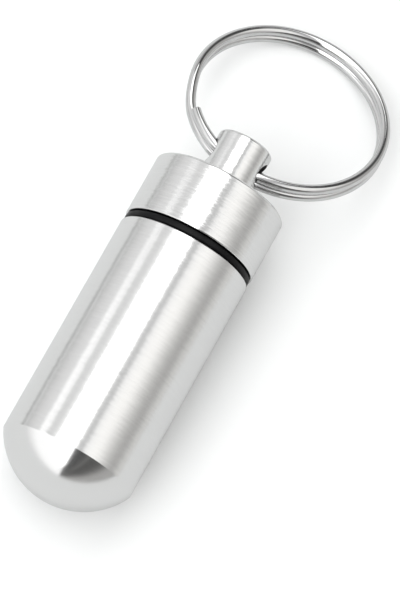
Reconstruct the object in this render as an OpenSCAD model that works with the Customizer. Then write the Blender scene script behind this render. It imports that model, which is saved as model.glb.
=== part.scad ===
// Pill fob keychain: a turned aluminium container with a screw-on cap, a rubber sealing ring
// between them, and a split ring through the cross-hole of the cap's knob.
// The X axis is the turning axis and points from the dome to the knob.
// The origin is on it, in the plane of the container's rim. The fob lies down, with +Z up.

/* [Container] */
// Outer diameter of the container and of the cap
body_d = 17; // [14:0.5:22]
// Length of the straight barrel, from its rim to the foot of the dome
barrel_len = 28.9; // [20:0.1:60]
// Height of the shallow dome that closes the barrel
dome_h = 5.3; // [3:0.1:6.5]
// How much narrower the neck is than the body, on the radius
neck_step = 2.25; // [2.15:0.05:2.6]
// Wall of the neck, between the pill bore and the thread's root
neck_wall = 0.65; // [0.5:0.05:1]
// Depth of metal left between the bore's drilled tip and the dome's pole
dome_wall = 2.8; // [1.5:0.1:5]

/* [Cap] */
// Length of the cap without its knob
cap_len = 8; // [7:0.1:14]
// Thickness of the cap's end wall
cap_wall = 1.4; // [1:0.1:2.5]
// Radial room between the neck's root and the socket, which the two threads fill
thread_room = 0.8; // [0.6:0.05:0.9]

/* [Knob] */
// Diameter of the knob
knob_d = 7; // [6:0.1:7.6]
// Length of the knob
knob_len = 6.7; // [6.2:0.1:10]
// Diameter of the cross-hole for the split ring
hole_d = 3.8; // [3.7:0.1:4.6]
// Distance from the knob's free end to the middle of the cross-hole
hole_inset = 3; // [2.8:0.05:3.6]

/* [Seal] */
// Gap between the two rims, which the squeezed sealing ring fills
seal_gap = 1.1; // [0.8:0.05:1.6]
// Width of the squeezed sealing ring, measured along the radius
seal_w = 1.9; // [1.7:0.05:1.9]
// How far the sealing ring lies back from the body's surface
seal_inset = 0.15; // [0.05:0.05:0.3]

/* [Split ring] */
// Outside diameter of the split ring
ring_d = 25.7; // [22:0.1:34]
// Diameter of its round wire
wire_d = 1.25; // [1:0.05:1.35]
// Gap between its two turns
turn_gap = 0.08; // [0.05:0.01:0.2]
// How far the ring lies below the turning axis, as an angle at the cross-hole
ring_lean = 24.5; // [0:0.5:60]
// How far the ring has run round through the cross-hole
ring_run = -10.5; // [-12:0.5:12]
// Place on the ring where the wire steps from its upper turn to its lower one
step_at = 111; // [40:1:130]

/* [Hidden] */
$fn = 96;

aluminium = [0.81, 0.81, 0.81];
rubber = [0.06, 0.06, 0.06];
steel = [0.70, 0.70, 0.70];

// Radii of the turned pieces, from the body inwards
body_r = body_d / 2;
neck_r = body_r - neck_step;
bore_r = neck_r - neck_wall;
socket_r = neck_r + thread_room;
knob_r = knob_d / 2;
hole_r = hole_d / 2;

// Places along the turning axis
dome_foot = -barrel_len;
dome_pole = dome_foot - dome_h;
cap_face = seal_gap;
cap_top = cap_face + cap_len;
knob_end = cap_top + knob_len;
hole_x = knob_end - hole_inset;
socket_end = cap_top - cap_wall;
neck_end_room = 0.7;
neck_end = socket_end - neck_end_room;

// Small turned edges
edge = 0.25;
neck_lead = 0.6;
socket_lead = 0.4;
hole_lead = 0.12;

// The seat that the sealing ring is stretched over, a little under the thread's root
seat_depth = 0.1;
seat_len = seal_gap + 0.3;

// The dome is a slice off a ball, and the drill leaves a 118 degree tip in the bore
ball_r = (pow(body_r, 2) + pow(dome_h, 2)) / (2 * dome_h);
ball_x = dome_pole + ball_r;
drill_tip = bore_r / tan(59);
bore_tip = dome_pole + dome_wall;
bore_foot = bore_tip + drill_tip;
bore_lead = 0.3;

// The sealing ring: flat on its squeezed faces and round on its inner and outer edges
seal_mid_r = body_r - seal_inset - seal_w / 2;
seal_play = 0.02;
seal_h = seal_gap - 2 * seal_play;

// The split ring: just under two turns of wire, with its ends either side of the step.
// All angles are measured round the ring, from its far side.
ring_r = (ring_d - wire_d) / 2;
turn_rise = wire_d + turn_gap;
step_span = 32;
step_start = step_at - step_span / 2;
wire_end_room = 1;
first_angle = step_at + step_span / 2 + wire_end_room;
last_angle = 720 + step_start - wire_end_room;
wire_sides = 12;
wire_stations = 138;

// The wire bows outwards across the knob, so the ring is set back by half of that bow.
// It also runs a little above the middle of the cross-hole.
far_side = knob_r + ring_r * abs(sin(ring_run));
wire_bow = ring_r * cos(ring_run) - sqrt(pow(ring_r, 2) - pow(far_side, 2));
wire_rest = 0.3;
hole_offset_out = wire_rest - wire_bow / 2;
hole_offset_up = 0.05;

// Turns a flat profile of radius against length about the X axis
module turned() rotate([0, 90, 0]) rotate_extrude() children();

// A straight or tapered run of a turned profile, from one place on the axis to another
module run(from, to, from_r, to_r) polygon([[0, from], [from_r, from], [to_r, to], [0, to]]);

// Cross-hole through the knob, countersunk at both mouths
module cross_hole() {
    translate([hole_x, 0, 0]) rotate([90, 0, 0]) {
        cylinder(h = 2 * knob_d, r = hole_r, center = true);
        for (side = [0, 180]) rotate([side, 0, 0]) translate([0, 0, knob_r - hole_lead])
            cylinder(h = 2 * hole_lead, r1 = hole_r, r2 = hole_r + 2 * hole_lead);
    }
}

// Half profile of the container's outside: dome, barrel with a broken rim edge, seal seat and neck
module container_outside() {
    intersection() {
        translate([0, ball_x]) circle(r = ball_r);
        translate([0, dome_pole]) square([body_r, dome_h]);
    }
    run(dome_foot, -edge, body_r, body_r);
    run(-edge, 0, body_r, body_r - edge);
    run(0, seat_len, neck_r - seat_depth, neck_r - seat_depth);
    run(seat_len, neck_end - neck_lead, neck_r, neck_r);
    run(neck_end - neck_lead, neck_end, neck_r, neck_r - neck_lead / 2);
}

// Half profile of the pill bore, with its drilled tip and an eased mouth
module container_bore() {
    run(bore_tip, bore_foot, 0, bore_r);
    run(bore_foot, neck_end + edge, bore_r, bore_r);
    run(neck_end - bore_lead, neck_end, bore_r, bore_r + bore_lead);
}

// Container that holds the pills
module container() {
    color(aluminium) turned() difference() {
        container_outside();
        container_bore();
    }
}

// Sealing ring, squeezed between the container's rim and the cap
module o_ring() {
    color(rubber) turned() intersection() {
        translate([seal_mid_r, seal_gap / 2]) circle(r = seal_w / 2);
        translate([0, seal_play]) square([body_r, seal_h]);
    }
}

// Half profile of the cap's outside, with the knob turned from the same bar
module cap_outside() {
    run(cap_face, cap_face + edge, body_r - edge, body_r);
    run(cap_face + edge, cap_top - edge, body_r, body_r);
    run(cap_top - edge, cap_top, body_r, body_r - edge);
    run(cap_top, knob_end - edge, knob_r, knob_r);
    run(knob_end - edge, knob_end, knob_r, knob_r - edge);
}

// Half profile of the cap's threaded socket, with an eased mouth
module cap_socket() {
    run(cap_face - edge, socket_end, socket_r, socket_r);
    run(cap_face, cap_face + socket_lead, socket_r + socket_lead, socket_r);
}

// Screw-on cap with its knob
module cap() {
    color(aluminium) difference() {
        turned() difference() {
            cap_outside();
            cap_socket();
        }
        cross_hole();
    }
}

// Height of the wire's middle: the upper turn, an eased step down, then the lower turn
function ease(u) = u <= 0 ? 0 : u >= 1 ? 1 : u * u * (3 - 2 * u);
function wire_z(a) = turn_rise * (0.5 - ease((a - 360 - step_start) / step_span));
function wire_mid(a) = [ring_r * cos(a), ring_r * sin(a), wire_z(a)];

// Directions across the wire at an angle round the ring: outwards, and square to it and the wire
function unit(v) = v / norm(v);
function wire_along(a) = unit(wire_mid(a + 0.5) - wire_mid(a - 0.5));
function wire_out(a) = [cos(a), sin(a), 0];
function wire_up(a) = cross(wire_out(a), wire_along(a));

// A circle of points round the wire
function wire_loop(a, r) = [
    for (k = [0 : wire_sides - 1])
        let (turn = 360 * k / wire_sides)
        wire_mid(a) + r * (cos(turn) * wire_out(a) + sin(turn) * wire_up(a))
];

// One unbroken wire, swept round both turns and through the step between them
module split_wire() {
    angles = [for (i = [0 : wire_stations]) first_angle + (last_angle - first_angle) * i / wire_stations];
    points = [for (a = angles) each wire_loop(a, wire_d / 2)];
    last = wire_sides * wire_stations;
    walls = [
        for (i = [0 : wire_stations - 1], k = [0 : wire_sides - 1])
            let (near = i * wire_sides, far = near + wire_sides, next = (k + 1) % wire_sides)
            each [[near + k, near + next, far + k], [near + next, far + next, far + k]]
    ];
    first_cap = [for (k = [1 : wire_sides - 2]) [0, k + 1, k]];
    last_cap = [for (k = [1 : wire_sides - 2]) [last, last + k, last + k + 1]];
    polyhedron(points, concat(walls, first_cap, last_cap));
}

// Split ring, threaded through the cross-hole and leaning down towards what the fob lies on
module split_ring() {
    color(steel) translate([hole_x, 0, 0]) rotate([0, ring_lean, 0])
        translate([hole_offset_out, 0, hole_offset_up])
        translate(ring_r * [cos(ring_run), sin(ring_run), 0])
        split_wire();
}

// Least clear distance between the wire's two turns, measured between points along them
function turns_apart(a) = min([for (b = [a + 300 : 2 : min(a + 420, last_angle)]) norm(wire_mid(a) - wire_mid(b))]);
least_gap = min([for (a = [first_angle : 4 : last_angle - 320]) turns_apart(a)]) - wire_d;
echo(least_gap_between_turns = least_gap);

container();
o_ring();
cap();
split_ring();
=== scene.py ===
import math
import bmesh
import bpy
import numpy as np
from mathutils import Matrix, Vector


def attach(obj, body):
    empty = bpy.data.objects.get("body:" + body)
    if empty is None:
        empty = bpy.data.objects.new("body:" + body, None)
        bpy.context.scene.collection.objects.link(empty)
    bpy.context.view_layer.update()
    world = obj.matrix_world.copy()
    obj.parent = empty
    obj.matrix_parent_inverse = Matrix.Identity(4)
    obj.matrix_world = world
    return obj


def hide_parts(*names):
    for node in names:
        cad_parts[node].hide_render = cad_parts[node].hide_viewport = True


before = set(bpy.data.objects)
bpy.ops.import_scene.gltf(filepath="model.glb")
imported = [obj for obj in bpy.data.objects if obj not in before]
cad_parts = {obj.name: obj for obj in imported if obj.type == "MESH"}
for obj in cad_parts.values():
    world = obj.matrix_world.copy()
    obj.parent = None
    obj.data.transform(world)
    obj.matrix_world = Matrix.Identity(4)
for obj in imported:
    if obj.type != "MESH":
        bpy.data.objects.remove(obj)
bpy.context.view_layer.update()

mm = 0.001
inMm = 1000.0  # turns metres into millimetres
print("frame loaded:", ", ".join(sorted(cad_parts)))

# Sizes that more than one piece uses, in millimetres. Places on X are measured from the container's rim
fobSizes = {
    "bodyRadius": 8.5,
    "domeFoot": -28.9,
    "neckRadius": 6.25,
    "socketRadius": 7.05,
    "holeX": 12.8,
    "holeRadius": 1.9,
}


# Node maths: a socket with the arithmetic that the trees below use, in shaders and in geometry nodes
class Signal:
    def __init__(self, tree, socket):
        self.tree = tree
        self.socket = socket

    def math(self, operation, *others):
        return self.tree.add("ShaderNodeMath", {"operation": operation}, self, *others)

    def __add__(self, other):
        return self.math("ADD", other)

    def __radd__(self, other):
        return self.math("ADD", other)

    def __sub__(self, other):
        return self.math("SUBTRACT", other)

    def __rsub__(self, other):
        return self.tree.add("ShaderNodeMath", {"operation": "SUBTRACT"}, other, self)

    def __mul__(self, other):
        return self.math("MULTIPLY", other)

    def __rmul__(self, other):
        return self.math("MULTIPLY", other)

    def __truediv__(self, other):
        return self.math("DIVIDE", other)

    def __rtruediv__(self, other):
        return self.tree.add("ShaderNodeMath", {"operation": "DIVIDE"}, other, self)

    def vector(self, operation, *others):
        return self.tree.add("ShaderNodeVectorMath", {"operation": operation}, self, *others)

    def scaled(self, amount):
        return self.tree.add("ShaderNodeVectorMath", {"operation": "SCALE"}, self, Scale=amount)


# A node tree under construction; add() takes a type, its settings, then values or links of its sockets
class Tree:
    def __init__(self, nodeTree):
        self.nodeTree = nodeTree

    def node(self, kind, settings=None, *inputs, **named):
        made = self.nodeTree.nodes.new(kind)
        for key, value in (settings or {}).items():
            if key == "stops":
                ramp = made.color_ramp.elements
                while len(ramp) > len(value):
                    ramp.remove(ramp[-1])
                while len(ramp) < len(value):
                    ramp.new(0.5)
                for element, (place, level) in zip(ramp, value):
                    element.position = place
                    element.color = (level, level, level, 1)
            else:
                setattr(made, key, value)
        for index, value in enumerate(inputs):
            self.feed(made.inputs[index], value)
        for name, value in named.items():
            self.feed(made.inputs[name.replace("_", " ")], value)
        return made

    def add(self, kind, settings=None, *inputs, output=0, **named):
        return Signal(self, self.node(kind, settings, *inputs, **named).outputs[output])

    def feed(self, socket, value):
        if isinstance(value, Signal):
            self.nodeTree.links.new(value.socket, socket)
        else:
            socket.default_value = value

    def parts(self, vector):
        split = self.node("ShaderNodeSeparateXYZ", None, vector)
        return [Signal(self, socket) for socket in split.outputs]

    def colour(self, rgb):
        return self.add("ShaderNodeCombineColor", None, *rgb)

    # a Mix node has its two colours at inputs 6 and 7, and the mixed colour at output 2
    def mix(self, share, first, second):
        mixer = self.node("ShaderNodeMix", {"data_type": "RGBA"}, share)
        self.feed(mixer.inputs[6], (*first, 1))
        self.feed(mixer.inputs[7], (*second, 1))
        return Signal(self, mixer.outputs[2])

    def stretch(self, value, low, high, toLow=0.0, toHigh=1.0, smooth=True):
        kind = {"interpolation_type": "SMOOTHSTEP" if smooth else "LINEAR"}
        return self.add("ShaderNodeMapRange", kind, value, low, high, toLow, toHigh, output="Result")


def emptyTree(holder):
    holder.use_nodes = True
    holder.node_tree.nodes.clear()
    return Tree(holder.node_tree)


def addObject(name, data):
    made = bpy.data.objects.new(name, data)
    bpy.context.scene.collection.objects.link(made)
    return made


# Shader side of a material: a Principled shader and the tree that feeds it
def startMaterial(name, colour, roughness, metallic):
    material = bpy.data.materials.new(name)
    tree = emptyTree(material)
    shader = tree.node("ShaderNodeBsdfPrincipled")
    shader.inputs["Base Color"].default_value = (*colour, 1)
    shader.inputs["Roughness"].default_value = roughness
    shader.inputs["Metallic"].default_value = metallic
    tree.node("ShaderNodeOutputMaterial", None, Signal(tree, shader.outputs[0]))
    return material, tree, shader


# Tilts the normal of a piece turned about X: slope along its profile, and swerve round the axis
def tiltTurned(tree, place, slope, swerve):
    normal = tree.add("ShaderNodeNewGeometry", output="Normal")
    toObject = {"vector_type": "NORMAL", "convert_from": "WORLD", "convert_to": "OBJECT"}
    ownNormal = tree.add("ShaderNodeVectorTransform", toObject, normal)
    around = place.vector("CROSS_PRODUCT", (1, 0, 0)).vector("NORMALIZE")
    along = around.vector("CROSS_PRODUCT", ownNormal).vector("NORMALIZE")
    tilted = along.scaled(slope).vector("ADD", around.scaled(swerve))
    summed = ownNormal.vector("ADD", tilted).vector("NORMALIZE")
    toWorld = {"vector_type": "NORMAL", "convert_from": "OBJECT", "convert_to": "WORLD"}
    return tree.add("ShaderNodeVectorTransform", toWorld, summed).vector("NORMALIZE")


noisePeak = 0.25  # a noise strays about this far from its middle, so a slope is divided by it

# Slopes and swerves are the tilt of the surface at a mark. The dome is polished, so its marks are fainter
barrelLook = {
    "colour": (0.815, 0.815, 0.812),
    "colourSpread": 0.06,
    "roughness": 0.155,
    "roughnessSpread": 0.05,
    "fineMarksPerMm": 46.0,
    "fineSlope": 0.15,
    "coarseMarksPerMm": 6.0,
    "coarseSlope": 0.04,
    "brushMarksPerMm": 5.0,
    "brushLengthMm": 2.5,
    "brushSwerve": 0.018,
    "brushTone": 0.10,
    "swerveMarks": 1.7,  # times as many marks as the brush leaves
    "noiseStarts": (3.0, 11.0, 5.0, 71.0),  # each noise starts elsewhere, so that no two agree
    "domeRoughness": 0.14,
    "domeMarks": 0.25,
    "domeBlend": 0.15 * mm,
}
# The cap comes straight off the tool, so its marks are coarser, and the drill left its hole rough. The hole's
# wall is darkened with painted shade
capLook = dict(
    barrelLook,
    colourSpread=0.12,
    coarseSlope=0.06,
    brushMarksPerMm=4.0,
    brushSwerve=0.035,
    brushTone=0.12,
    paintedHoleShade=0.12,
    holeRoughness=0.5,
    holeEdge=(0.01 * mm, 0.06 * mm),
)


def turnedAluminium(name, look):
    material, tree, shader = startMaterial(name, look["colour"], look["roughness"], 1.0)
    place = tree.add("ShaderNodeTexCoord", output="Object")
    x, y, z = tree.parts(place)
    radius = (y * y + z * z).math("SQRT")
    track = (x + radius) * inMm  # distance along the profile, in millimetres
    fineStart, coarseStart, brushStart, swerveStart = look["noiseStarts"]

    def turns(perMm, detail, start):
        return tree.add("ShaderNodeTexNoise", {"noise_dimensions": "1D"},
                        W=track * perMm + start, Scale=1.0, Detail=detail, Roughness=0.6) - 0.5

    # marks of the abrasive cloth: fine across, and a few millimetres long round the piece
    def brushed(perMm, start):
        reach = inMm / look["brushLengthMm"]
        spot = tree.add("ShaderNodeCombineXYZ", None, track * perMm + start, y * reach, z * reach)
        return tree.add("ShaderNodeTexNoise", None, spot, Scale=1.0, Detail=2.0, Roughness=0.55) - 0.5

    fine = turns(look["fineMarksPerMm"], 1.0, fineStart)
    coarse = turns(look["coarseMarksPerMm"], 3.0, coarseStart)
    brush = brushed(look["brushMarksPerMm"], brushStart)
    other = brushed(look["brushMarksPerMm"] * look["swerveMarks"], swerveStart)
    foot = fobSizes["domeFoot"] * mm
    onBarrel = tree.stretch(x, foot - look["domeBlend"], foot, look["domeMarks"], 1.0)
    slope = fine * (look["fineSlope"] / noisePeak) + coarse * (look["coarseSlope"] / noisePeak)
    swerve = other * (look["brushSwerve"] / noisePeak)
    tree.feed(shader.inputs["Normal"], tiltTurned(tree, place, slope * onBarrel, swerve * onBarrel))

    # the bar's own streaks: slightly lighter and darker turns
    tone = 1.0 + coarse * look["colourSpread"] + brush * (look["brushTone"] * onBarrel)
    rough = tree.stretch(onBarrel, look["domeMarks"], 1.0, look["domeRoughness"], look["roughness"])
    rough = rough + coarse * look["roughnessSpread"] + brush * look["roughnessSpread"]

    # painted shade: the colour darkens on the cross-hole's wall, where shade falls inside the hole, and the
    # wall is also made rougher
    if "paintedHoleShade" in look:
        offAxis = x - fobSizes["holeX"] * mm
        fromDrill = (offAxis * offAxis + z * z).math("SQRT")
        inner, outer = (fobSizes["holeRadius"] * mm + edge for edge in look["holeEdge"])
        onWall = tree.stretch(fromDrill, inner, outer, 1.0, 0.0)
        tone = tone * (1.0 - onWall * (1.0 - look["paintedHoleShade"]))
        rough = rough + onWall * (look["holeRoughness"] - rough)
    tree.feed(shader.inputs["Base Color"], tree.colour(look["colour"]).scaled(tone))
    tree.feed(shader.inputs["Roughness"], rough)
    return material


rubberLook = {
    "colour": (0.004, 0.004, 0.0045),
    "roughness": 0.40,
    "gloss": 0.16,
    "dust": (0.010, 0.010, 0.0105),
    "dustPerMm": 0.42,
    "dustFrom": 0.45,
    "dustFull": 0.75,
    "dustRoughness": 0.15,
    "grainPerMm": 9.0,
    "grainDepth": 0.006 * mm,
    "grainStrength": 0.5,
}


def sealRubber(name, look):
    material, tree, shader = startMaterial(name, look["colour"], look["roughness"], 0.0)
    shader.inputs["Specular IOR Level"].default_value = look["gloss"]
    place = tree.add("ShaderNodeTexCoord", output="Object")
    grainScale = look["grainPerMm"] * inMm
    grain = tree.add("ShaderNodeTexNoise", None, place, Scale=grainScale, Detail=3.0, Roughness=0.55)
    patches = tree.add("ShaderNodeTexNoise", None, place, Scale=look["dustPerMm"] * inMm, Detail=2.0)
    dusty = tree.stretch(patches, look["dustFrom"], look["dustFull"])
    tree.feed(shader.inputs["Base Color"], tree.mix(dusty, look["colour"], look["dust"]))
    tree.feed(shader.inputs["Roughness"], look["roughness"] + dusty * look["dustRoughness"])
    bump = tree.add("ShaderNodeBump", None, Strength=look["grainStrength"], Distance=look["grainDepth"],
                    Height=grain)
    tree.feed(shader.inputs["Normal"], bump)
    return material


# The scratches are far too fine to see one by one, so they only soften the plating's shine
wireLook = {
    "colour": (0.70, 0.70, 0.70),
    "toneSpread": 0.12,
    "roughness": 0.085,
    "roughnessSpread": 0.08,
    "scratchStretch": (260.0, 2.2, 2.2),
    "scratchDepth": 0.002 * mm,
    "scratchStrength": 0.35,
}


def platedSteel(name, look):
    material, tree, shader = startMaterial(name, look["colour"], look["roughness"], 1.0)
    run = tree.add("ShaderNodeAttribute", {"attribute_name": "wireRun"}, output="Vector")
    drawn = tree.add("ShaderNodeMapping", None, run, Scale=look["scratchStretch"])
    scratches = tree.add("ShaderNodeTexNoise", None, drawn, Scale=3.0, Detail=4.0, Roughness=0.65)
    clouds = tree.add("ShaderNodeTexNoise", None, run, Scale=1.0, Detail=2.0)
    bump = tree.add("ShaderNodeBump", None, Strength=look["scratchStrength"], Distance=look["scratchDepth"],
                    Height=scratches)
    tree.feed(shader.inputs["Normal"], bump)
    tree.feed(shader.inputs["Roughness"], look["roughness"] + (scratches - 0.5) * look["roughnessSpread"])
    tone = 1.0 + (clouds - 0.5) * look["toneSpread"]
    tree.feed(shader.inputs["Base Color"], tree.colour(look["colour"]).scaled(tone))
    return material


barrelAluminium = turnedAluminium("barrelAluminium", barrelLook)
capAluminium = turnedAluminium("capAluminium", capLook)
rubberSeal = sealRubber("sealRubber", rubberLook)
steelWire = platedSteel("platedSteel", wireLook)
print("materials made")

# A rounded corner takes at most a share of each side, and a support point stands just outside the round
roundSizes = {"steps": 4, "shareOfSide": 0.45, "support": 0.04, "supportShare": 0.05}


# Turned pieces: a profile of (place on X, radius, softness), in millimetres, is swept once round
def roundedProfile(points):
    most, steps = roundSizes["shareOfSide"], roundSizes["steps"]
    out = []
    for index, (x, r, softness) in enumerate(points):
        here = Vector((x, r))
        if softness <= 0 or index in (0, len(points) - 1):
            out.append((x, r))
            continue
        before = Vector(points[index - 1][:2]) - here
        after = Vector(points[index + 1][:2]) - here
        inward, outward = before.normalized(), after.normalized()
        half = math.acos(max(-1.0, min(1.0, inward.dot(outward)))) / 2
        reach = min(softness / math.tan(half), before.length * most, after.length * most)
        rounding = reach * math.tan(half)
        centre = here + (inward + outward).normalized() * (rounding / math.sin(half))
        first, last = here + inward * reach, here + outward * reach
        share = roundSizes["supportShare"]
        support = min(roundSizes["support"], before.length * share, after.length * share)
        out.append(tuple(first + inward * support))
        startAngle = math.atan2(first.y - centre.y, first.x - centre.x)
        sweep = math.atan2(last.y - centre.y, last.x - centre.x) - startAngle
        sweep = (sweep + math.pi) % (2 * math.pi) - math.pi
        for step in range(steps + 1):
            angle = startAngle + sweep * step / steps
            out.append((centre.x + rounding * math.cos(angle), centre.y + rounding * math.sin(angle)))
        out.append(tuple(last + outward * support))
    return out


# A profile that starts and ends on the axis is closed by its poles, and any other by a last wall
def turnedMesh(name, profile, sides, material):
    build = bmesh.new()
    turns = [2 * math.pi * k / sides for k in range(sides)]
    rings = []
    for x, r in profile:
        spots = [(x, r * math.cos(t), r * math.sin(t)) for t in turns] if r else [(x, 0, 0)]
        rings.append([build.verts.new([part * mm for part in spot]) for spot in spots])
    for one, two in zip(rings, rings[1:]):
        for k in range(sides):
            corners = [one[k % len(one)], one[(k + 1) % len(one)], two[(k + 1) % len(two)], two[k % len(two)]]
            unique = [v for i, v in enumerate(corners) if v not in corners[:i]]
            if len(unique) > 2:
                build.faces.new(unique)
    first, last = rings[0], rings[-1]
    if len(first) > 1:
        for k in range(sides):
            build.faces.new([last[k], last[(k + 1) % sides], first[(k + 1) % sides], first[k]])
    bmesh.ops.recalc_face_normals(build, faces=build.faces)
    mesh = bpy.data.meshes.new(name)
    build.to_mesh(mesh)
    build.free()
    finishMesh(mesh, material)
    return addObject(name, mesh)


def finishMesh(mesh, material, sharpAngle=35):
    mesh.materials.clear()
    mesh.materials.append(material)
    mesh.shade_smooth()
    mesh.set_sharp_from_angle(angle=math.radians(sharpAngle))


containerSizes = {
    "domeHeight": 5.3,
    "domeSteps": 44,
    "domeFootSoft": 0.1,
    "barrelMiddle": -12,
    "edge": 0.14,
    "softEdge": 0.12,
    "fineSoft": 0.03,
    "seatLength": 1.4,
    "seatDepth": 0.1,
    "seatSoft": 0.1,
    "neckEnd": 7.0,
    "neckLead": 0.6,
    "boreRadius": 5.6,
    "boreTip": -31.4,
    "boreLead": 0.3,
    "boreSoft": 0.2,
    "drillAngle": 59,
    "sides": 288,
}


def makeContainer(sizes, material):
    radius, foot, neck = fobSizes["bodyRadius"], fobSizes["domeFoot"], fobSizes["neckRadius"]
    height, bore = sizes["domeHeight"], sizes["boreRadius"]
    edge, soft, fineSoft = sizes["edge"], sizes["softEdge"], sizes["fineSoft"]
    seat = neck - sizes["seatDepth"]
    boreFoot = sizes["boreTip"] + bore / math.tan(math.radians(sizes["drillAngle"]))
    # the dome is a slice off a ball
    ball = (radius ** 2 + height ** 2) / (2 * height)
    pole = foot - height
    reach = math.asin(radius / ball)
    profile = [(pole, 0, 0)]
    for step in range(1, sizes["domeSteps"]):
        angle = reach * step / sizes["domeSteps"]
        profile.append((pole + ball * (1 - math.cos(angle)), ball * math.sin(angle), 0))
    profile += [
        (foot, radius, sizes["domeFootSoft"]),
        (sizes["barrelMiddle"], radius, 0),
        (-edge, radius, soft),
        (0, radius - edge, soft),
        (0, seat, sizes["seatSoft"]),
        (sizes["seatLength"], seat, fineSoft),
        (sizes["seatLength"], neck, fineSoft),
        (sizes["neckEnd"] - sizes["neckLead"], neck, soft),
        (sizes["neckEnd"], neck - sizes["neckLead"] / 2, soft),
        (sizes["neckEnd"], bore + sizes["boreLead"], fineSoft),
        (sizes["neckEnd"] - sizes["boreLead"], bore, soft),
        (boreFoot, bore, sizes["boreSoft"]),
        (sizes["boreTip"], 0, 0),
    ]
    return turnedMesh("containerTurned", roundedProfile(profile), sizes["sides"], material)


container = makeContainer(containerSizes, barrelAluminium)
print("container turned:", len(container.data.polygons), "faces")


capSizes = {
    "face": 1.1,
    "faceEdge": 0.10,
    "faceSoft": 0.08,
    "top": 9.1,
    "edge": 0.24,
    "softEdge": 0.22,
    "knobRadius": 3.5,
    "knobEnd": 15.8,
    "knobFootSoft": 0.12,
    "socketEnd": 7.7,
    "socketFootSoft": 0.15,
    "socketLead": 0.4,
    "socketSoft": 0.12,
    "holeLead": 0.12,
    "sides": 288,
    "drillSides": 160,
    "sharpAngle": 20,
}


def makeCap(sizes, material):
    radius, socket = fobSizes["bodyRadius"], fobSizes["socketRadius"]
    edge, soft, socketSoft = sizes["edge"], sizes["softEdge"], sizes["socketSoft"]
    face, faceEdge, faceSoft = sizes["face"], sizes["faceEdge"], sizes["faceSoft"]
    top, knob, knobEnd = sizes["top"], sizes["knobRadius"], sizes["knobEnd"]
    profile = [
        (sizes["socketEnd"], 0, 0),
        (sizes["socketEnd"], socket, sizes["socketFootSoft"]),
        (face + sizes["socketLead"], socket, socketSoft),
        (face, socket + sizes["socketLead"], socketSoft),
        (face, radius - faceEdge, faceSoft),
        (face + faceEdge, radius, faceSoft),
        (top - edge, radius, soft),
        (top, radius - edge, soft),
        (top, knob, sizes["knobFootSoft"]),
        (knobEnd - edge, knob, soft),
        (knobEnd, knob - edge, soft),
        (knobEnd, 0, 0),
    ]
    cap = turnedMesh("capTurned", roundedProfile(profile), sizes["sides"], material)
    # the drill and its countersinks, turned as one cutter that lies across the knob
    hole, lead = fobSizes["holeRadius"], sizes["holeLead"]
    cutterProfile = [
        (-knob - lead, 0), (-knob - lead, hole + 2 * lead), (-knob + lead, hole),
        (knob - lead, hole), (knob + lead, hole + 2 * lead), (knob + lead, 0),
    ]
    cutter = turnedMesh("drill", cutterProfile, sizes["drillSides"], material)
    toKnob = Matrix.Translation((fobSizes["holeX"] * mm, 0, 0))
    cutter.data.transform(toKnob @ Matrix.Rotation(math.pi / 2, 4, "Z"))
    cut = cap.modifiers.new("crossHole", "BOOLEAN")
    cut.operation = "DIFFERENCE"
    cut.solver = "EXACT"
    cut.object = cutter
    plain = bpy.data.meshes.new_from_object(cap.evaluated_get(bpy.context.evaluated_depsgraph_get()))
    cap.modifiers.remove(cut)
    cap.data = plain
    bpy.data.objects.remove(cutter)
    finishMesh(cap.data, material, sizes["sharpAngle"])
    return cap


cap = makeCap(capSizes, capAluminium)
print("cap turned and drilled:", len(cap.data.polygons), "faces")


# A squeezed ring bulges: flat against both rims, full and round at its outer and inner edges
sealSizes = {
    "middleRadius": 7.4,
    "width": 1.9,
    "front": 0.02,
    "back": 1.08,
    "flatness": 0.62,
    "fullness": 0.86,
    "sectionPoints": 56,
    "sides": 224,
}


def makeSeal(sizes, material):
    half = (sizes["back"] - sizes["front"]) / 2
    middle = (sizes["back"] + sizes["front"]) / 2
    profile = []
    for k in range(sizes["sectionPoints"]):
        angle = 2 * math.pi * k / sizes["sectionPoints"]
        across, out = math.cos(angle), math.sin(angle)
        profile.append((
            middle + half * math.copysign(abs(across) ** sizes["flatness"], across),
            sizes["middleRadius"] + sizes["width"] / 2 * math.copysign(abs(out) ** sizes["fullness"], out),
        ))
    return turnedMesh("sealingRing", profile, sizes["sides"], material)


seal = makeSeal(sealSizes, rubberSeal)
print("sealing ring made")


# Geometry Nodes for what follows a path. finishPath() bakes the tree's result into a plain mesh
def startPath(name, numbers):
    group = bpy.data.node_groups.new(name, "GeometryNodeTree")
    group.interface.new_socket("Geometry", in_out="OUTPUT", socket_type="NodeSocketGeometry")
    group.interface.new_socket("Finish", in_out="INPUT", socket_type="NodeSocketMaterial")
    for key in numbers:
        group.interface.new_socket(key, in_out="INPUT", socket_type="NodeSocketFloat")
    tree = Tree(group)
    source = tree.node("NodeGroupInput")
    return group, tree, {socket.name: Signal(tree, socket) for socket in source.outputs if socket.name}


def endPath(tree, shape, finish):
    real = tree.add("GeometryNodeRealizeInstances", None, shape)
    painted = tree.add("GeometryNodeSetMaterial", None, real, Material=finish)
    tree.node("NodeGroupOutput", None, painted)


def finishPath(name, group, numbers, material):
    holder = addObject(name, bpy.data.meshes.new(name + "Start"))
    modifier = holder.modifiers.new(name, "NODES")
    modifier.node_group = group
    values = {"Finish": material, **numbers}
    for item in group.interface.items_tree:
        if item.item_type == "SOCKET" and item.in_out == "INPUT":
            modifier[item.identifier] = values[item.name]
    made = bpy.data.meshes.new_from_object(holder.evaluated_get(bpy.context.evaluated_depsgraph_get()))
    holder.modifiers.remove(modifier)
    holder.data = made
    return holder


def mergeMesh(piece, distance):
    build = bmesh.new()
    build.from_mesh(piece.data)
    bmesh.ops.remove_doubles(build, verts=build.verts, dist=distance)
    bmesh.ops.recalc_face_normals(build, faces=build.faces)
    build.to_mesh(piece.data)
    build.free()


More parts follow.
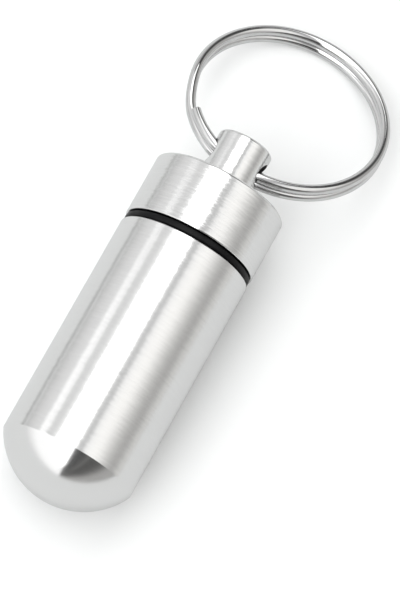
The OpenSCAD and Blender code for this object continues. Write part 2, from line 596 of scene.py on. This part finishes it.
# Split ring: just under two turns of round wire, with an eased step from the upper turn to the lower.
# Angles are measured round the ring, from its far side
ringSizes = {
    "Ring Radius": 12.225 * mm,
    "Wire Radius": 0.625 * mm,
    "Turn Rise": 1.33 * mm,
    "First Angle": math.radians(128),
    "Last Angle": math.radians(814),
    "Step Start": math.radians(455),
    "Step Span": math.radians(32),
    "End Softness": 0.8 * mm,
    "End Share": 0.5,  # of the wire's radius, at its very ends
}
ringMesh = {"stations": 760, "sides": 28, "merge": 0.002 * mm, "sharpAngle": 40}
# the ring's place in the cross-hole: degrees for lean and run, millimetres for out and up
ringPlace = {"lean": 24.5, "run": -10.5, "out": -0.31, "up": 0.05}


def ringTree():
    group, tree, given = startPath("splitRingWire", ringSizes)
    share = tree.add("GeometryNodeSplineParameter", output="Factor")
    angle = given["First Angle"] + (given["Last Angle"] - given["First Angle"]) * share
    step = tree.stretch((angle - given["Step Start"]) / given["Step Span"], 0.0, 1.0)
    height = given["Turn Rise"] * (0.5 - step)
    point = tree.add("ShaderNodeCombineXYZ", None, given["Ring Radius"] * angle.math("COSINE"),
                     given["Ring Radius"] * angle.math("SINE"), height)
    straight = tree.add("GeometryNodeCurvePrimitiveLine")
    stations = tree.add("GeometryNodeResampleCurve", None, straight, Count=ringMesh["stations"])
    wire = tree.add("GeometryNodeSetPosition", None, stations, Position=point)

    # the cut ends are ground to a soft taper, so that a key slides in between the turns
    length = given["Ring Radius"] * (given["Last Angle"] - given["First Angle"])
    fromEnd = share.math("MINIMUM", 1.0 - share) * length
    full = tree.stretch(fromEnd, 0.0, given["End Softness"], given["End Share"], 1.0)
    sized = tree.add("GeometryNodeSetCurveRadius", None, wire, Radius=full)
    circle = tree.add("GeometryNodeCurvePrimitiveCircle", None,
                      Resolution=ringMesh["sides"], Radius=given["Wire Radius"])

    # what the finish reads: distance along the wire, and the way round it
    measured = tree.add("GeometryNodeStoreNamedAttribute", {"data_type": "FLOAT"}, sized,
                        Name="alongWire", Value=share * length * inMm)
    turnShare = tree.add("GeometryNodeSplineParameter", output="Factor")
    section = tree.add("GeometryNodeStoreNamedAttribute", {"data_type": "FLOAT"}, circle,
                       Name="roundWire", Value=turnShare * (2 * math.pi))
    swept = tree.add("GeometryNodeCurveToMesh", None, measured, Profile_Curve=section, Fill_Caps=True)
    endPath(tree, swept, given["Finish"])
    return group


def addWireRun(mesh):
    count = len(mesh.vertices)
    along = np.zeros(count, np.float32)
    around = np.zeros(count, np.float32)
    mesh.attributes["alongWire"].data.foreach_get("value", along)
    mesh.attributes["roundWire"].data.foreach_get("value", around)
    run = np.stack([along, np.cos(around), np.sin(around)], 1).astype(np.float32)
    mesh.attributes.new("wireRun", "FLOAT_VECTOR", "POINT").data.foreach_set("vector", run.ravel())


def makeSplitRing(place, material):
    ring = finishPath("splitRingWire", ringTree(), ringSizes, material)
    addWireRun(ring.data)
    side = math.radians(place["run"])
    ring.data.transform(
        Matrix.Translation((fobSizes["holeX"] * mm, 0, 0))
        @ Matrix.Rotation(math.radians(place["lean"]), 4, "Y")
        @ Matrix.Translation((place["out"] * mm, 0, place["up"] * mm))
        @ Matrix.Translation(Vector((math.cos(side), math.sin(side), 0)) * ringSizes["Ring Radius"])
    )
    mergeMesh(ring, ringMesh["merge"])
    finishMesh(ring.data, material, ringMesh["sharpAngle"])
    return ring


splitRing = makeSplitRing(ringPlace, steelWire)
print("split ring wound:", len(splitRing.data.polygons), "faces")


# Screw threads: a helical ridge on the neck and one in the cap's socket, right-handed, 1.25 mm apart
neckThread = {
    "Root Radius": fobSizes["neckRadius"] * mm,
    "Ridge Height": 0.62 * mm,
    "Pitch": 1.25 * mm,
    "First Place": 1.75 * mm,
    "Last Place": 6.1 * mm,
    "Foot Half": 0.56 * mm,
    "Crest Half": 0.14 * mm,
    "Buried Share": 0.12,  # of the ridge's height, under the surface
    "Fade": 0.06,
}
socketThread = {
    **neckThread,
    "Root Radius": fobSizes["socketRadius"] * mm,
    "Ridge Height": -0.62 * mm,
    "First Place": 1.9 * mm,
    "Last Place": 7.1 * mm,
}
threadMesh = {"stations": 420, "columns": 6, "sharpAngle": 25}


def threadTree(name, numbers):
    group, tree, given = startPath(name, numbers)
    # a flat strip of the ridge's section is laid round the axis: its rows are stations,
    # and its columns are the section
    strip = tree.add("GeometryNodeMeshGrid", None, 1.0, 1.0, threadMesh["stations"], threadMesh["columns"])
    rowAt, columnAt = tree.parts(tree.add("GeometryNodeInputPosition"))[:2]
    share = rowAt + 0.5
    across = columnAt * 2.0
    turns = (given["Last Place"] - given["First Place"]) / given["Pitch"]
    angle = (share * turns + given["First Place"] / given["Pitch"]) * (2 * math.pi)
    middle = given["First Place"] + (given["Last Place"] - given["First Place"]) * share
    size = across.math("ABSOLUTE")
    # columns at 1, 0.6 and 0.2 are the hidden root, the ridge's foot and its crest
    onCrest = tree.stretch(size, 0.3, 0.5, 1.0, 0.0, smooth=False)
    buried = tree.stretch(size, 0.7, 0.9, 0.0, 1.0, smooth=False)
    fade = tree.stretch(share.math("MINIMUM", 1.0 - share), 0.0, given["Fade"])
    half = given["Crest Half"] * onCrest + given["Foot Half"] * (1.0 - onCrest)
    lift = given["Ridge Height"] * (onCrest * fade) - given["Ridge Height"] * (given["Buried Share"] * buried)
    sunk = given["Ridge Height"] * (given["Buried Share"] * (1.0 - fade))
    radius = given["Root Radius"] + lift - sunk
    point = tree.add("ShaderNodeCombineXYZ", None, middle + across.math("SIGN") * half,
                     radius * angle.math("COSINE"), radius * angle.math("SINE"))
    endPath(tree, tree.add("GeometryNodeSetPosition", None, strip, Position=point), given["Finish"])
    return group


# Gives the laid strip its buried underside and its two ends
def closeStrip(piece):
    build = bmesh.new()
    build.from_mesh(piece.data)
    build.verts.ensure_lookup_table()
    verts, rows, columns = build.verts, threadMesh["stations"], threadMesh["columns"]
    last = columns - 1
    for row in range(rows - 1):
        here, after = row * columns, (row + 1) * columns
        build.faces.new([verts[here + last], verts[here], verts[after], verts[after + last]])
    for first in (0, (rows - 1) * columns):
        build.faces.new([verts[first + k] for k in range(columns)])
    bmesh.ops.recalc_face_normals(build, faces=build.faces)
    build.to_mesh(piece.data)
    build.free()


def makeThread(name, numbers, material):
    ridge = finishPath(name, threadTree(name, numbers), numbers, material)
    closeStrip(ridge)
    finishMesh(ridge.data, material, threadMesh["sharpAngle"])
    return ridge


threads = [
    makeThread("neckThread", neckThread, barrelAluminium),
    makeThread("socketThread", socketThread, capAluminium),
]
print("threads cut")

for piece, node in ((container, "container"), (cap, "cap"), (splitRing, "split_ring")):
    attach(piece, node)
    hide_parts(node)
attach(seal, "seal")
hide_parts("o_ring")
for ridge, body in zip(threads, ("container", "cap")):
    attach(ridge, body)
print("pieces ride on their bodies")


# The table: a pale round top that the dome's foot and the ring's lowest turn both rest on
floorLook = {
    "radius": 0.3,
    "sides": 96,
    "gap": 0.02 * mm,
    "ringFrom": 10 * mm,
    "colour": 0.705,
    "seenColour": 0.9,
    "redShare": 0.988,
    "lift": 0.1,
}


def makeFloor(look):
    touch = Vector((fobSizes["domeFoot"] * mm, 0, -fobSizes["bodyRadius"] * mm))
    wire = [v.co for v in splitRing.data.vertices if v.co.x > look["ringFrom"]]
    slope = max((touch.z - spot.z) / (spot.x - touch.x) for spot in wire)

    def onTable(x, y):
        return (x, y, touch.z + slope * (touch.x - x) - look["gap"])

    radius, sides = look["radius"], look["sides"]
    turns = [2 * math.pi * k / sides for k in range(sides)]
    spots = [onTable(0, 0)] + [onTable(radius * math.cos(t), radius * math.sin(t)) for t in turns]
    mesh = bpy.data.meshes.new("tableTop")
    mesh.from_pydata(spots, [], [(0, k + 1, (k + 1) % sides + 1) for k in range(sides)])
    material = bpy.data.materials.new("paleTable")
    tree = emptyTree(material)
    seen = tree.add("ShaderNodeLightPath", output="Is Camera Ray")
    grey = look["colour"] + seen * (look["seenColour"] - look["colour"])
    paint = tree.add("ShaderNodeBsdfDiffuse", None, tree.colour((grey * look["redShare"], grey, grey)))
    glow = tree.add("ShaderNodeEmission", None, (1, 1, 1, 1), seen * look["lift"])
    both = tree.add("ShaderNodeAddShader", None, paint, glow)
    tree.node("ShaderNodeOutputMaterial", None, both)
    mesh.materials.append(material)
    top = addObject("tableTop", mesh)
    print("table top slopes", round(math.degrees(math.atan(slope)), 2), "degrees under the leaning ring")


makeFloor(floorLook)


# Studio light. Angles are about the fob's own axis, in degrees: 0 is straight up, and positive leans to
# the right of the picture. Distances are in metres. The boxes run along the fob
softBoxes = [
    {"name": "topBox", "from": -30, "to": 3.5, "level": 1.5, "distance": 1.0, "start": -3.0, "end": 2.0},
    {"name": "leftStrip", "from": -61, "to": -48, "level": 0.42, "distance": 0.2, "start": -0.15,
     "end": 0.06},
]


def makeLights(boxes):
    for box in boxes:
        low, high = math.radians(box["from"]), math.radians(box["to"])
        middle = (low + high) / 2
        width = 2 * box["distance"] * math.tan((high - low) / 2)
        length = box["end"] - box["start"]
        lamp = bpy.data.lights.new(box["name"], "AREA")
        lamp.shape = "RECTANGLE"
        lamp.size = length
        lamp.size_y = width
        lamp.energy = box["level"] * math.pi * length * width
        outward = Vector((0, -math.sin(middle), math.cos(middle)))
        axes = Matrix((Vector((1, 0, 0)), outward.cross(Vector((1, 0, 0))), outward)).transposed()
        spot = outward * box["distance"] + Vector(((box["start"] + box["end"]) / 2, 0, 0))
        placed = addObject(box["name"], lamp)
        placed.matrix_world = Matrix.Translation(spot) @ axes.to_4x4()
        placed.visible_camera = False


makeLights(softBoxes)

# The room is pale card, brighter in places. Its levels are set by the same angle about the fob's axis.
# What lies beyond the dome, and beyond the ring, has levels of its own. The starts and fulls are how far
# a direction points along X
roomLook = {
    "backdrop": 1.0,
    "warm": (1.0, 0.99, 0.97),
    "warmFrom": 0.2,  # radians, as is the next
    "warmFull": 0.6,
    "brightest": 2.0,
    "aboveFob": [
        (-180, 0.6), (-96, 0.58), (-88, 0.67), (-80, 0.78), (-70, 0.85), (-60, 0.88), (-50, 0.80),
        (-41, 0.78), (-35, 0.90), (-28, 1.0), (0, 0.95), (4, 0.78), (9, 0.62), (14, 0.60), (18, 1.03),
        (24, 1.15), (32, 1.18), (40, 1.12), (48, 0.92), (56, 0.72), (64, 0.56), (73, 0.46), (80, 0.52),
        (86, 0.67), (92, 0.72), (180, 0.71),
    ],
    "domeEnd": [
        (-180, 0.80), (-95, 0.85), (-86, 1.0), (-74, 1.22), (-1, 1.25), (2.5, 0.09), (14, 0.08),
        (24, 0.09), (30, 0.13), (34, 0.19), (39, 0.11), (48, 0.11), (56, 0.13), (64, 0.20), (74, 0.42),
        (180, 0.6),
    ],
    "domeEndStarts": -0.33,
    "domeEndFull": -0.42,
    "ringEnd": [(-180, 0.62), (-62, 0.62), (-40, 0.16), (-28, 0.08), (30, 0.08), (55, 0.5), (180, 0.5)],
    "ringEndStarts": 0.52,
    "ringEndFull": 0.66,
}


def makeRoom(look):
    world = bpy.data.worlds.new("studioRoom")
    bpy.context.scene.world = world
    tree = emptyTree(world)
    along, across, height = tree.parts(tree.add("ShaderNodeTexCoord", output="Generated"))
    lean = (0 - across).math("ARCTAN2", height)
    share = lean / (2 * math.pi) + 0.5

    # a ramp holds levels of up to 1, so they go in as shares of the brightest one
    def levels(stops):
        places = [((angle + 180) / 360, level / look["brightest"]) for angle, level in stops]
        return tree.add("ShaderNodeValToRGB", {"stops": places}, share) * look["brightest"]

    atDome = tree.stretch(along, look["domeEndStarts"], look["domeEndFull"])
    atRing = tree.stretch(along, look["ringEndStarts"], look["ringEndFull"])
    level = levels(look["aboveFob"]) * (1.0 - atDome) * (1.0 - atRing)
    level = level + levels(look["ringEnd"]) * atRing + levels(look["domeEnd"]) * atDome
    tint = tree.mix(tree.stretch(lean, look["warmFrom"], look["warmFull"]), (1, 1, 1), look["warm"])
    seen = tree.add("ShaderNodeLightPath", output="Is Camera Ray")
    room = tree.add("ShaderNodeBackground", None, tint, level)
    backdrop = tree.add("ShaderNodeBackground", None, (1, 1, 1, 1), look["backdrop"])
    shown = tree.add("ShaderNodeMixShader", None, seen, room, backdrop)
    tree.node("ShaderNodeOutputWorld", None, shown)


makeRoom(roomLook)

# A grey card lies left of the fob, out of the camera's sight, and darkens one line along the barrel
cardLook = {"near": 64 * mm, "far": 118 * mm, "halfLength": 0.5, "height": -8.2 * mm, "grey": 0.4}


def makeCard(look):
    reach = look["halfLength"]
    corners = [(-reach, look["near"]), (reach, look["near"]), (reach, look["far"]), (-reach, look["far"])]
    mesh = bpy.data.meshes.new("greyCard")
    mesh.from_pydata([(x, y, look["height"]) for x, y in corners], [], [(0, 1, 2, 3)])
    card = addObject("greyCard", mesh)
    material = bpy.data.materials.new("greyCard")
    tree = emptyTree(material)
    grey = look["grey"]
    tree.node("ShaderNodeOutputMaterial", None,
              tree.add("ShaderNodeBsdfDiffuse", None, (grey, grey, grey, 1)))
    mesh.materials.append(material)
    card.visible_camera = False
    card.visible_diffuse = False
    card.visible_shadow = False


makeCard(cardLook)
print("lights set")

# The photo's own viewpoint: a place in metres, and the picture's right, up and towards the viewer
cameraLook = {
    "place": (-0.13413, -0.02185, 0.47017),
    "right": (0.4731861, -0.8754557, 0.0983479),
    "up": (0.8396224, 0.4819590, 0.2504989),
    "back": (-0.2667003, -0.0359575, 0.9631085),
    "lens": 247.02,
    "sensor": 36,
    "nearest": 0.01,
    "farthest": 20,
}


def makeCamera(look):
    lens = bpy.data.cameras.new("photoCamera")
    lens.sensor_fit = "AUTO"
    lens.sensor_width = look["sensor"]
    lens.lens = look["lens"]
    lens.clip_start = look["nearest"]
    lens.clip_end = look["farthest"]
    placed = addObject("photoCamera", lens)
    axes = Matrix((look["right"], look["up"], look["back"])).transposed()
    placed.matrix_world = Matrix.Translation(look["place"]) @ axes.to_4x4()
    bpy.context.scene.camera = placed


makeCamera(cameraLook)
bpy.context.scene.view_settings.view_transform = "Standard"
